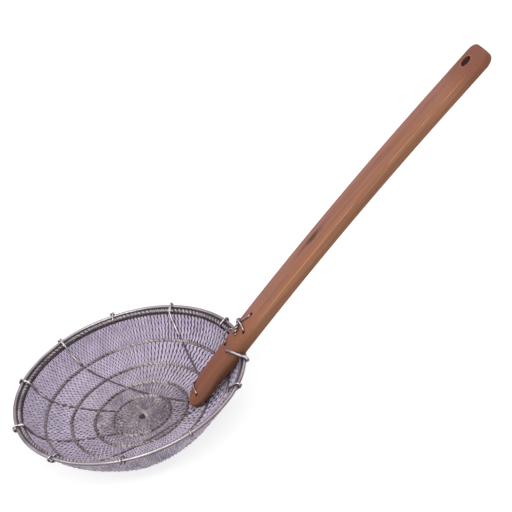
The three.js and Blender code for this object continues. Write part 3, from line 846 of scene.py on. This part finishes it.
def humps(azimuth, terms):
    """Sum of humps of some size at each wire's azimuth."""
    return sum(size * hump(azimuth, *side) for size, *side in terms)[:, None]


def inner_rim_height(azimuth):
    near = np.maximum(0, np.cos(azimuth - INNER_RIM_LOW_SIDE))
    return INNER_RIM_HEIGHT - INNER_RIM_DROP * near**RIM_DROP_POWER


def rope(centre, up, side, twist, offset, wire, sides):
    """Two wires twisted unevenly round a closed line, each with its own frame along that line."""
    length = np.linalg.norm(np.roll(centre, -1, axis=0) - centre, axis=1).sum()
    around = azimuths(len(centre))
    parts = []
    for start in (0, np.pi):
        turn = start + round(length / twist) * around
        size = wire
        for count, swing in ROPE_WAVES:
            first, second = rng.uniform(0, 2 * np.pi, 2)
            turn += swing * np.sin(count * around + first)
            size += ROPE_SWELL * wire * np.sin(count * around + second)
        lean = turned(up, side, turn)
        parts.append(tubes(centre + lean * offset, size, sides, closed=True, normals=lean))
    return joined(parts)


def rope_steps(radius, twist):
    return round(2 * np.pi * radius / twist) * ROPE_STEPS


def rim_line(radius, drop, twist):
    """A ring that follows the inner rim, with its directions up and outwards, for a rope."""
    steps = rope_steps(radius, twist)
    path = ring_path(radius, inner_rim_height(azimuths(steps)) - drop, steps)
    return path, np.array([0.0, 0.0, 1.0]), unit(path * [1, 1, 0])


# Bowl surface

def bowl_share(radius):
    return np.minimum(radius / INNER_RIM_RADIUS, 1)


def bowl_height(radius):
    share = bowl_share(radius)
    wall = (BOWL_DEPTH - DISH_DEPTH) * share**WALL_POWER
    return KNOT_DROP + DISH_DEPTH * share**DISH_POWER + wall


def bowl_tilt(radius):
    share = bowl_share(radius)
    dish = DISH_DEPTH * DISH_POWER * share ** (DISH_POWER - 1)
    wall = (BOWL_DEPTH - DISH_DEPTH) * WALL_POWER * share ** (WALL_POWER - 1)
    return np.arctan((dish + wall) / INNER_RIM_RADIUS)


def bulge(radius, azimuth):
    """How far the net stands out of the bowl's true shape."""
    total = sum(
        depth * hump(azimuth, middle, spread) * bell(radius - at_radius, reach)
        for depth, middle, spread, at_radius, reach in BULGES
    )
    return total * ramp(radius, *BULGE_HELD)


def over_bowl(radius, azimuth, lift):
    tilt = bowl_tilt(radius)
    lift = lift - bulge(radius, azimuth)
    height = bowl_height(radius) + lift * np.cos(tilt)
    return polar(radius - lift * np.sin(tilt), azimuth, height)


def over_plan(plan, lift):
    """Places seen from above, lifted off the bowl."""
    return over_bowl(np.hypot(plan[:, 0], plan[:, 1]), np.arctan2(plan[:, 1], plan[:, 0]), lift)


def bowl_normal(radius, azimuth):
    tilt = bowl_tilt(radius)
    return polar(-np.sin(tilt), azimuth, np.cos(tilt))


def meridian(inner, outer, step):
    """Radii spaced evenly along the bowl's slope, and the length run to each."""
    dense = np.linspace(inner, outer, SLOPE_STEPS)
    length = lengths(np.stack([dense, bowl_height(dense)], axis=1))
    run = np.linspace(0, length[-1], max(FEWEST_STEPS, round(length[-1] / step) + 1))
    return np.interp(run, length, dense), run


# Net, rims, ties and stays

def alternate(wires, run=1):
    return np.where(np.arange(wires) % (2 * run) < run, 1, -1)[:, None]


def net_sway(run, azimuth, band):
    """Sideways wave of each wire, in shares of the pitch.

    By the handle the wires run in pairs that wave together. Elsewhere neighbours wave apart.
    """
    wires = len(azimuth)
    towards = np.cos(azimuth - PAIRED_AZIMUTHS[:, None]).max(axis=0)
    paired = np.clip(PAIRED_SLOPE * towards - PAIRED_CUT, 0, 1)[:, None]
    paired *= 1 if band else PAIRED_IN_MIDDLE
    stretch = 1 + rng.uniform(-STRETCH_STRAY, STRETCH_STRAY, (wires, 1))
    phase = 2 * np.pi * stretch * run[None] / WAVE_LENGTH + waves(azimuth, NET_DRIFT, band)[:, None]
    phase += rng.uniform(-PHASE_STRAY, PHASE_STRAY, (wires, 1))
    together = (SWAY_TOGETHER + PAIRED_TOGETHER * paired) * np.sin(phase)
    swing = SWAY + SWAY_MORE * np.cos(2 * azimuth)[:, None] - PAIRED_CALM * paired
    apart = alternate(wires) * (PAIRED_GAP * paired + swing * np.sin(phase + SWAY_LAG))
    return together + apart, phase


def end_dip(run):
    """How far a wire dips below the net at both ends, where it passes under the hoops."""
    return END_DIP * smoothstep(np.minimum(run, run[-1] - run), END_RUN, 0.0)


def net_layer(radius, azimuth, pitch, beside, lift, share, sides, flat=1.0):
    """Wires along the bowl's slope, moved sideways and thick by shares of their pitch."""
    turn = azimuth[:, None] + beside * pitch / radius
    size = np.maximum(share * pitch, WIRE_RADIUS_LEAST)
    paths = over_bowl(radius, turn, lift)
    return tubes(paths, size, sides, normals=bowl_normal(radius, turn), flat=flat)


def make_net(wires_look, backs_look):
    for band, wires in enumerate(NET_WIRES):
        node = f"net_band_{band + 1}"
        radius, run = meridian(NET_RADII[band], NET_RADII[band + 1], WAVE_LENGTH / WAVE_STEPS)
        place = 2 * np.pi * (np.arange(wires) + rng.uniform(-NET_STRAY, NET_STRAY, wires)) / wires
        azimuth = place + 0.5 * NET_CROWDING * np.sin(2 * place)
        spread = 1 + NET_CROWDING * np.cos(2 * place)[:, None]
        lines = radius, azimuth, spread * 2 * np.pi * radius / wires
        sway, phase = net_sway(run, azimuth, band)
        crossed = alternate(wires, 2)

        crimp = WIRE_CRIMP + crossed * humps(azimuth, DEEP_CRIMPS)
        share = WIRE_SHARE - WIRE_SHARE_LESS * np.cos(place)[:, None] ** 2
        share -= humps(azimuth, OPEN_SIDES)
        lift = WIRE_LIFT + end_dip(run) + crimp * np.cos(phase)
        shape = net_layer(*lines, sway, lift, share, WIRE_SIDES)
        add_piece(f"net_wires_{band + 1}", shape, wires_look[band], "net_steel", node)

        near = humps(azimuth, [NEAR_SIDE]) * (band >= NEAR_FROM_BAND)
        crimp = mix(BACK_CRIMP * crossed, NEAR_CRIMP * alternate(wires), near)
        share = mix(BACK_SHARE, NEAR_SHARE, near)
        flat = mix(BACK_FLAT, NEAR_FLAT, near)[:, :, None, None]
        lift = BACK_LIFT + BACK_DIP * end_dip(run) + crimp * np.cos(phase)
        shape = net_layer(*lines, 0.5 + BACK_SWAY * sway, lift, share, BACK_SIDES, flat)
        add_piece(f"net_backs_{band + 1}", shape, backs_look, "net_steel", node)


def make_shade_lashings(look):
    """Dark twisted wires as painted shade, filling the gap between the rims and the corner below
    the inner one.
    """
    parts = []
    for radius, drop, core in SHADE_LASHINGS:
        line = rim_line(radius, drop, SHADE_LASHING_TWIST)
        parts.append(tubes(line[0][::SHADE_LASHING_STRIDE], core, ROUND_SIDES, closed=True))
        parts.append(rope(*line, SHADE_LASHING_TWIST, *SHADE_LASHING_WIRES))
    add_piece("rim_shade_lashing", joined(parts), look, "hoop_steel", "inner_rim_wire")


def make_hoops(core, strand):
    for i, radius in enumerate(HOOP_RADII):
        node = f"net_hoop_{i + 1}"
        azimuth = azimuths(rope_steps(radius, HOOP_TWIST))
        centre = over_bowl(radius + waves(azimuth, HOOP_WANDER, i), azimuth, HOOP_LIFT)
        normal = bowl_normal(radius, azimuth)
        side = np.cross(directions(centre[None], True)[0], normal)
        coarse, out = centre[::HOOP_STRIDE], normal[::HOOP_STRIDE]
        shape = tubes(coarse, HOOP_CORE, ROUND_SIDES, closed=True, normals=out)
        add_piece(f"hoop_core_shade_{i + 1}", shape, core, "hoop_steel", node)
        shape = rope(centre, normal, side, HOOP_TWIST, *HOOP_WIRES)
        add_piece(f"hoop_rope_{i + 1}", shape, strand, "hoop_steel", node)


def make_rims(smooth, core, strand):
    azimuth = azimuths(RIM_STEPS)
    wander = waves(azimuth, RIM_WANDER)
    path = ring_path(RIM_RADIUS + wander, RIM_HEIGHT + RIM_WANDER_UP * wander, RIM_STEPS)
    shape = tubes(path, RIM_WIRE / 2, RIM_SIDES, closed=True)
    add_piece("rim_outer", shape, smooth, "rim_steel", "outer_rim_wire")
    path = ring_path(INNER_RIM_RADIUS, inner_rim_height(azimuth), RIM_STEPS)
    shape = tubes(path, INNER_CORE, INNER_SIDES, closed=True)
    add_piece("rim_inner", shape, core, "hoop_steel", "inner_rim_wire")
    shape = rope(*rim_line(INNER_RIM_RADIUS, 0.0, INNER_TWIST), INNER_TWIST, *INNER_WIRES)
    add_piece("rim_rope", shape, strand, "hoop_steel", "inner_rim_wire")


def make_knot(cup, strand, bright):
    """The gathered middle: a cup painted dark as the shade in its hollow, short wires out of it and
    a few that lie beside it.
    """
    shape = skin(lathe(KNOT_PROFILE, KNOT_STEPS)[None])
    add_piece("knot_foot", shape, cup, "hoop_steel", "centre_knot")
    parts = []
    for i in range(RADIAL_WIRES):
        start = 2 * np.pi * (i + rng.uniform(-RADIAL_STRAY, RADIAL_STRAY)) / RADIAL_WIRES
        reach = rng.uniform(*RADIAL_REACH)
        twist = rng.uniform(*RADIAL_TWIST)
        radii = np.array([*RADIAL_FROM, reach])
        points = over_bowl(radii, start + twist * (1 - radii / reach), RADIAL_LIFTS)
        parts.append(tubes(spline(points, RADIAL_STEPS), RADIAL_RADIUS, RADIAL_SIDES))
    add_piece("knot_wires", joined(parts), strand, "hoop_steel", "centre_knot")
    parts = []
    for i in range(GATHER_WIRES):
        plan = GATHER_PATH + [GATHER_PITCH * (i - (GATHER_WIRES - 1) / 2), 0]
        plan += rng.uniform(-GATHER_STRAY, GATHER_STRAY, plan.shape)
        path = spline(over_plan(plan, GATHER_LIFTS), GATHER_STEPS)
        parts.append(tubes(path, GATHER_RADIUS, GATHER_SIDES))
    add_piece("net_gather", joined(parts), bright, "net_steel", "net_band_1")


def tie_path(azimuth, turns, lean):
    """A wire wound round both rims, shifted along them with each turn."""
    reach = RIM_WIRE / 2 + TIE_RADIUS + TIE_GAP
    rim_height = inner_rim_height(azimuth)
    across = RIM_RADIUS - INNER_RIM_RADIUS, RIM_HEIGHT - rim_height
    between = math.hypot(*across)
    tilt = math.atan2(across[1], across[0])
    half = math.pi * reach
    lap = 2 * half + 2 * between
    run = np.linspace(TIE_START * lap, (TIE_START + turns) * lap, round(turns * TIE_STEPS))
    place = run % lap
    parts = [place < half, place < half + between, place < 2 * half + between]
    angle = np.where(parts[0], place, place - between) / reach - math.pi / 2
    x, y = reach * np.cos(angle), reach * np.sin(angle)
    proud = between + (1 + TIE_PROUD * np.cos(angle)) * x
    x = np.select(parts, [proud, between + half - place, x], place - 2 * half - between)
    y = np.select(parts, [y, reach, y], -reach)
    out = INNER_RIM_RADIUS + x * math.cos(tilt) - y * math.sin(tilt)
    height = rim_height + x * math.sin(tilt) + y * math.cos(tilt)
    shift = ((run - run[0]) / lap - turns / 2) * TIE_PITCH + lean * (x / between - 0.5)
    return polar(out, azimuth + shift / RIM_RADIUS, height)


def make_ties(look):
    for i, azimuth in enumerate(TIE_AZIMUTHS, 1):
        path = tie_path(azimuth, rng.choice(TIE_TURNS), rng.uniform(-TIE_LEAN, TIE_LEAN))
        shape = tubes(path, TIE_RADIUS, ROUND_SIDES)
        add_piece(f"tie_{i}", shape, look, "rim_steel", f"rim_tie_{i}")


def stay_path(azimuth, end, hidden_within):
    """From its tie over the outer band, then along in the net and under each hoop to its end.

    A hidden one stays under the net from some radius inwards.
    """
    share = np.linspace(0, 1, STAY_STEPS)[:, None]
    plan = mix(polar(STAY_START, azimuth)[:2], end, share)
    radius = np.hypot(plan[:, 0], plan[:, 1])
    travel = np.linalg.norm(plan - plan[0], axis=1)
    weave = STAY_NET_LIFT + STAY_WEAVE * np.sin(2 * np.pi * travel / STAY_WEAVE_LENGTH)
    lift = mix(STAY_OVER_LIFT, weave, ramp(radius, *STAY_SINKS))
    for hoop in HOOP_RADII:
        lift = mix(lift, STAY_UNDER_HOOP, bell(radius - hoop, STAY_HOOP_REACH))
    lift += STAY_RIM_LIFT * ramp(radius, *STAY_RISES)
    inside = np.maximum.accumulate(ramp(radius, hidden_within, hidden_within - STAY_DIVE))
    path = over_plan(plan, mix(lift, STAY_UNDER_NET, inside))
    path[:, 2] = np.maximum(path[:, 2], STAY_RADIUS + STAY_OVER_FLOOR)
    rim = inner_rim_height(azimuth)
    over_rim = [polar(out, azimuth, rim + rise) for out, rise in STAY_OVER_RIM]
    return spline([*over_rim, *path[STAY_POINT_STEP::STAY_POINT_STEP]], len(path))


def make_stays(look):
    ends = []
    for tie in FAN_TIES:
        way = unit(polar(RIM_RADIUS, TIE_AZIMUTHS[tie])[:2] - FAN_CENTRE)
        ends.append((tie, FAN_CENTRE + FAN_RADIUS * way + FAN_SHIFTS.get(tie, 0)))
    ends += zip(SIDE_TIES, SIDE_ENDS)
    for i, (tie, end) in enumerate(ends, 1):
        path = stay_path(TIE_AZIMUTHS[tie], end, HIDDEN_STAYS.get(tie, 0.0))
        shape = tubes(path, STAY_RADIUS, ROUND_SIDES)
        add_piece(f"stay_{i}", shape, look, "rim_steel", f"stay_wire_{i}")


# Handle

def handle_bow(along):
    """Height of the top face, which is an arch with a straight end."""
    straight = np.maximum(along - (HANDLE_LENGTH - END_STRAIGHT), 0)
    arch = along * (HANDLE_LENGTH - along)
    return 4 * HANDLE_BOW * (arch + straight**2) / HANDLE_LENGTH**2


def handle_heights(along):
    """Top and bottom of the handle, which thins towards its tip."""
    thicker = smoothstep(along, 0, TONGUE_THINS_FROM)
    top = handle_bow(along)
    return top, top - mix(TIP_THICKNESS, HANDLE_THICKNESS, thicker)


def round_share(distance, size):
    return np.sqrt(1 - ramp(distance, size, 0.0) ** 2)


def handle_sides(along):
    """Left and right side of the handle, rounded at both ends and flared by the tip."""
    right_half = HANDLE_WIDTH / 2
    left_half = mix(TONGUE_WIDTH, HANDLE_WIDTH, smoothstep(along, *TONGUE_WIDENS)) - right_half
    flare = TIP_FLARE * (1 - smoothstep(along, *TIP_FLARE_ENDS))
    from_tip = np.maximum(along - TIP_CUT, 0)
    from_end = HANDLE_LENGTH - along
    sides = []
    for way, half, tip, end in zip((1, -1), (left_half, right_half + flare), TIP_ROUND, END_ROUND):
        side = mix(TIP_SKEW, way * half, round_share(from_tip, tip))
        sides.append(side - way * end * (1 - round_share(from_end, end)))
    return sides


def handle_section(along, inset=0.0):
    """One ring of points round the handle, from the left over the top to the right and back."""
    left, right = handle_sides(along)
    top, bottom = handle_heights(along)
    left, right, top, bottom = left - inset, right + inset, top - inset, bottom + inset
    room = min(left - right, top - bottom) / EDGE_ROOM
    edge = min(HANDLE_EDGE, room)
    right_edge = min(RIGHT_EDGE, room)
    corners = [
        (left - edge, top - edge, edge),
        (right + right_edge, top - right_edge, right_edge),
        (right + edge, bottom + edge, edge),
        (left - edge, bottom + edge, edge),
    ]
    quarter = np.linspace(0, 90, FILLET_STEPS)
    fillets = [
        (y, z) + polar(size, np.radians(90 * k + quarter))[:, :2]
        for k, (y, z, size) in enumerate(corners)
    ]
    t = np.linspace(0, 1, FACE_STEPS + 1, endpoint=False)[1:, None]
    ring = []
    for k, fillet in enumerate(fillets):
        start, end = fillet[-1], fillets[(k + 1) % 4][0]
        crown = HANDLE_CROWN * min(1, np.linalg.norm(end - start) / TONGUE_WIDTH)
        outward = polar(crown, math.radians(90 * (k + 1)))[:2]
        ring += [fillet, mix(start, end, t) + outward * 4 * t * (1 - t)]
    return np.insert(np.concatenate(ring), 0, along, axis=1)


def handle_shape():
    turns = [np.linspace(0, math.pi / 2, rings) for rings in (TIP_RINGS, END_RINGS)]
    tip = TIP_CUT + CAP_DEPTH + TIP_ROUND[0] * (1 - np.cos(turns[0]))
    end = HANDLE_LENGTH - CAP_DEPTH - END_ROUND[1] * (1 - np.sin(turns[1]))
    middle = np.arange(tip[-1] + RING_GAP, HANDLE_LENGTH - END_ROUND[1], RING_STEP)
    first = handle_section(tip[0], TIP_INSET)
    first[:, 0] = TIP_CUT
    last = handle_section(end[-1], END_INSET)
    last[:, 0] = HANDLE_LENGTH
    rings = [handle_section(along) for along in (*tip, *middle, *end)]
    return skin(np.array([[first, *rings, last]]))


def bore_cutter(along, left, across, length):
    """A bore right through the handle, eased at both mouths."""
    top, bottom = handle_heights(along)
    top += HANDLE_CROWN
    radius = across / 2
    profile = [
        (radius + BORE_CLEAR, bottom - BORE_CLEAR), (radius + BORE_EASE, bottom),
        (radius, bottom + BORE_EASE_DEPTH), (radius, top - BORE_EASE_DEPTH),
        (radius + BORE_EASE, top), (radius + BORE_CLEAR, top + BORE_CLEAR),
    ]
    rings = lathe(profile, BORE_STEPS)
    rings[..., 0] = along + rings[..., 0] * length / across
    rings[..., 1] += left
    return add_object("bore_cutter", new_mesh("bore_cutter", skin(rings[None])))


def make_handle(bamboo):
    piece = add_object("handle", new_mesh("handle", handle_shape(), bamboo))
    cutters = [bore_cutter(*place) for place in [HANG_HOLE, *WIRE_BORES]]
    for cutter in cutters:
        modifier = piece.modifiers.new("bore", "BOOLEAN")
        modifier.object = cutter
        modifier.operation = "DIFFERENCE"
        modifier.solver = "EXACT"
    bpy.context.view_layer.update()
    whole = piece.evaluated_get(bpy.context.evaluated_depsgraph_get())
    bored = bpy.data.meshes.new_from_object(whole)
    piece.modifiers.clear()
    piece.data = bored
    for cutter in cutters:
        bpy.data.objects.remove(cutter)
    bored.shade_smooth()
    bored.set_sharp_from_angle(angle=SHARP_ANGLE)
    piece.matrix_world = Matrix.Translation(Vector(HANDLE_TIP) * MM) @ HANDLE_TURN
    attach(piece, BODY)
    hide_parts("bamboo_handle")


def on_handle(places):
    """Places along the handle, to its left and over its top face, in the part's frame."""
    places = np.array(places, float)
    places[:, 2] += handle_bow(places[:, 0])
    return places @ np.array(HANDLE_TURN)[:3, :3].T + HANDLE_TIP


def twisted(path, start, gap, turns):
    """A path moved off its line by a gap that turns about it."""
    along = directions(path[None], False)
    up = carried(along)[0]
    angle = start + 2 * np.pi * turns * np.linspace(0, 1, len(path))
    return path + gap * turned(up, np.cross(along[0], up), angle)


def make_bindings(look, dark):
    for name, node, twist, places in BINDINGS:
        line = on_handle(places)
        if twist:
            *turning, share = twist
            path = spline(line, TWISTED_STEPS)
            pair = [twisted(path, start, *turning) for start in (0, math.pi)]
            shape = joined(tubes(strand, share * BINDING_RADIUS, ROUND_SIDES) for strand in pair)
        else:
            shape = tubes(spline(line, BINDING_STEPS), BINDING_RADIUS, BINDING_SIDES)
        add_piece(f"binding_{name}", shape, dark if twist else look, "rim_steel", f"{node}_binding")
    path = spline([*on_handle(STAPLE_ON_HANDLE), *STAPLE_HOOK], STAPLE_STEPS)
    shape = tubes(path, STAPLE_RADIUS, STAPLE_SIDES)
    add_piece("staple", shape, look, "rim_steel", "rim_staple")


# Stage

def make_floor():
    signs = np.array([(-1, -1, 0), (1, -1, 0), (1, 1, 0), (-1, 1, 0)])
    material = bpy.data.materials.new("floor")
    nodes = Nodes(material)
    matt = nodes.add("BsdfDiffuse", {"Color": FLOOR_GREY})
    lift = nodes.times(nodes.seen_directly(), FLOOR_GLOW)
    glow = nodes.add("Emission", {"Color": WHITE, "Strength": lift})
    both = nodes.add("AddShader", {0: matt.outputs[0], 1: glow.outputs[0]})
    nodes.add("OutputMaterial", {"Surface": both.outputs[0]})
    shape = (signs * FLOOR_REACH / MM, [(0, 1, 2, 3)])
    floor = add_object("floor", new_mesh("floor", shape, material))
    floor.location.z = FLOOR_HEIGHT


def make_world():
    world = bpy.data.worlds.new("studio")
    bpy.context.scene.world = world
    nodes = Nodes(world)
    level = nodes.ranged(nodes.seen_directly(), SKY_STRENGTH, 1.0)
    sky = nodes.add("Background", {"Color": WHITE, "Strength": level})
    nodes.add("OutputWorld", {"Surface": sky.outputs[0]})


def add_lamp(name, place, target, width, depth, power):
    lamp = bpy.data.lights.new(name, "AREA")
    lamp.shape = "RECTANGLE"
    lamp.size = width
    lamp.size_y = depth
    lamp.energy = power
    holder = add_object(name, lamp)
    holder.location = place
    holder.rotation_euler = (Vector(target) - Vector(place)).to_track_quat("-Z", "Y").to_euler()


def add_camera():
    camera = bpy.data.cameras.new("camera")
    camera.lens = CAMERA_LENS
    camera.sensor_width = CAMERA_SENSOR
    holder = add_object("camera", camera)
    columns = [CAMERA_RIGHT, CAMERA_UP, CAMERA_BACK, Vector(CAMERA_PLACE) * MM]
    holder.matrix_world = Matrix([*zip(*columns), (0, 0, 0, 1)])
    bpy.context.scene.camera = holder


net_looks = [
    steel_material(f"net_{i + 1}", *tones, wires=NET_WIRES[i], **NET_LOOK)
    for i, tones in enumerate(NET_TONES)
]
steel = {name: steel_material(name, *look, **more) for name, (*look, more) in STEELS.items()}

make_net(net_looks, steel["net_back"])
make_shade_lashings(steel["painted_shade_steel"])
make_hoops(steel["hoop_core_shade"], steel["hoop_strand"])
make_rims(steel["rim_smooth"], steel["rim_core_shade"], steel["rim_strand"])
make_knot(steel["painted_shade_steel"], steel["knot_strand"], steel["cream_steel"])
make_ties(steel["tie_steel"])
make_stays(steel["stay_steel"])
make_handle(bamboo_material())
make_bindings(steel["tie_steel"], steel["dark_steel"])

make_floor()
make_world()
for lamp, settings in LAMPS.items():
    add_lamp(lamp, *settings)
add_camera()
bpy.context.scene.view_settings.view_transform = "Standard"
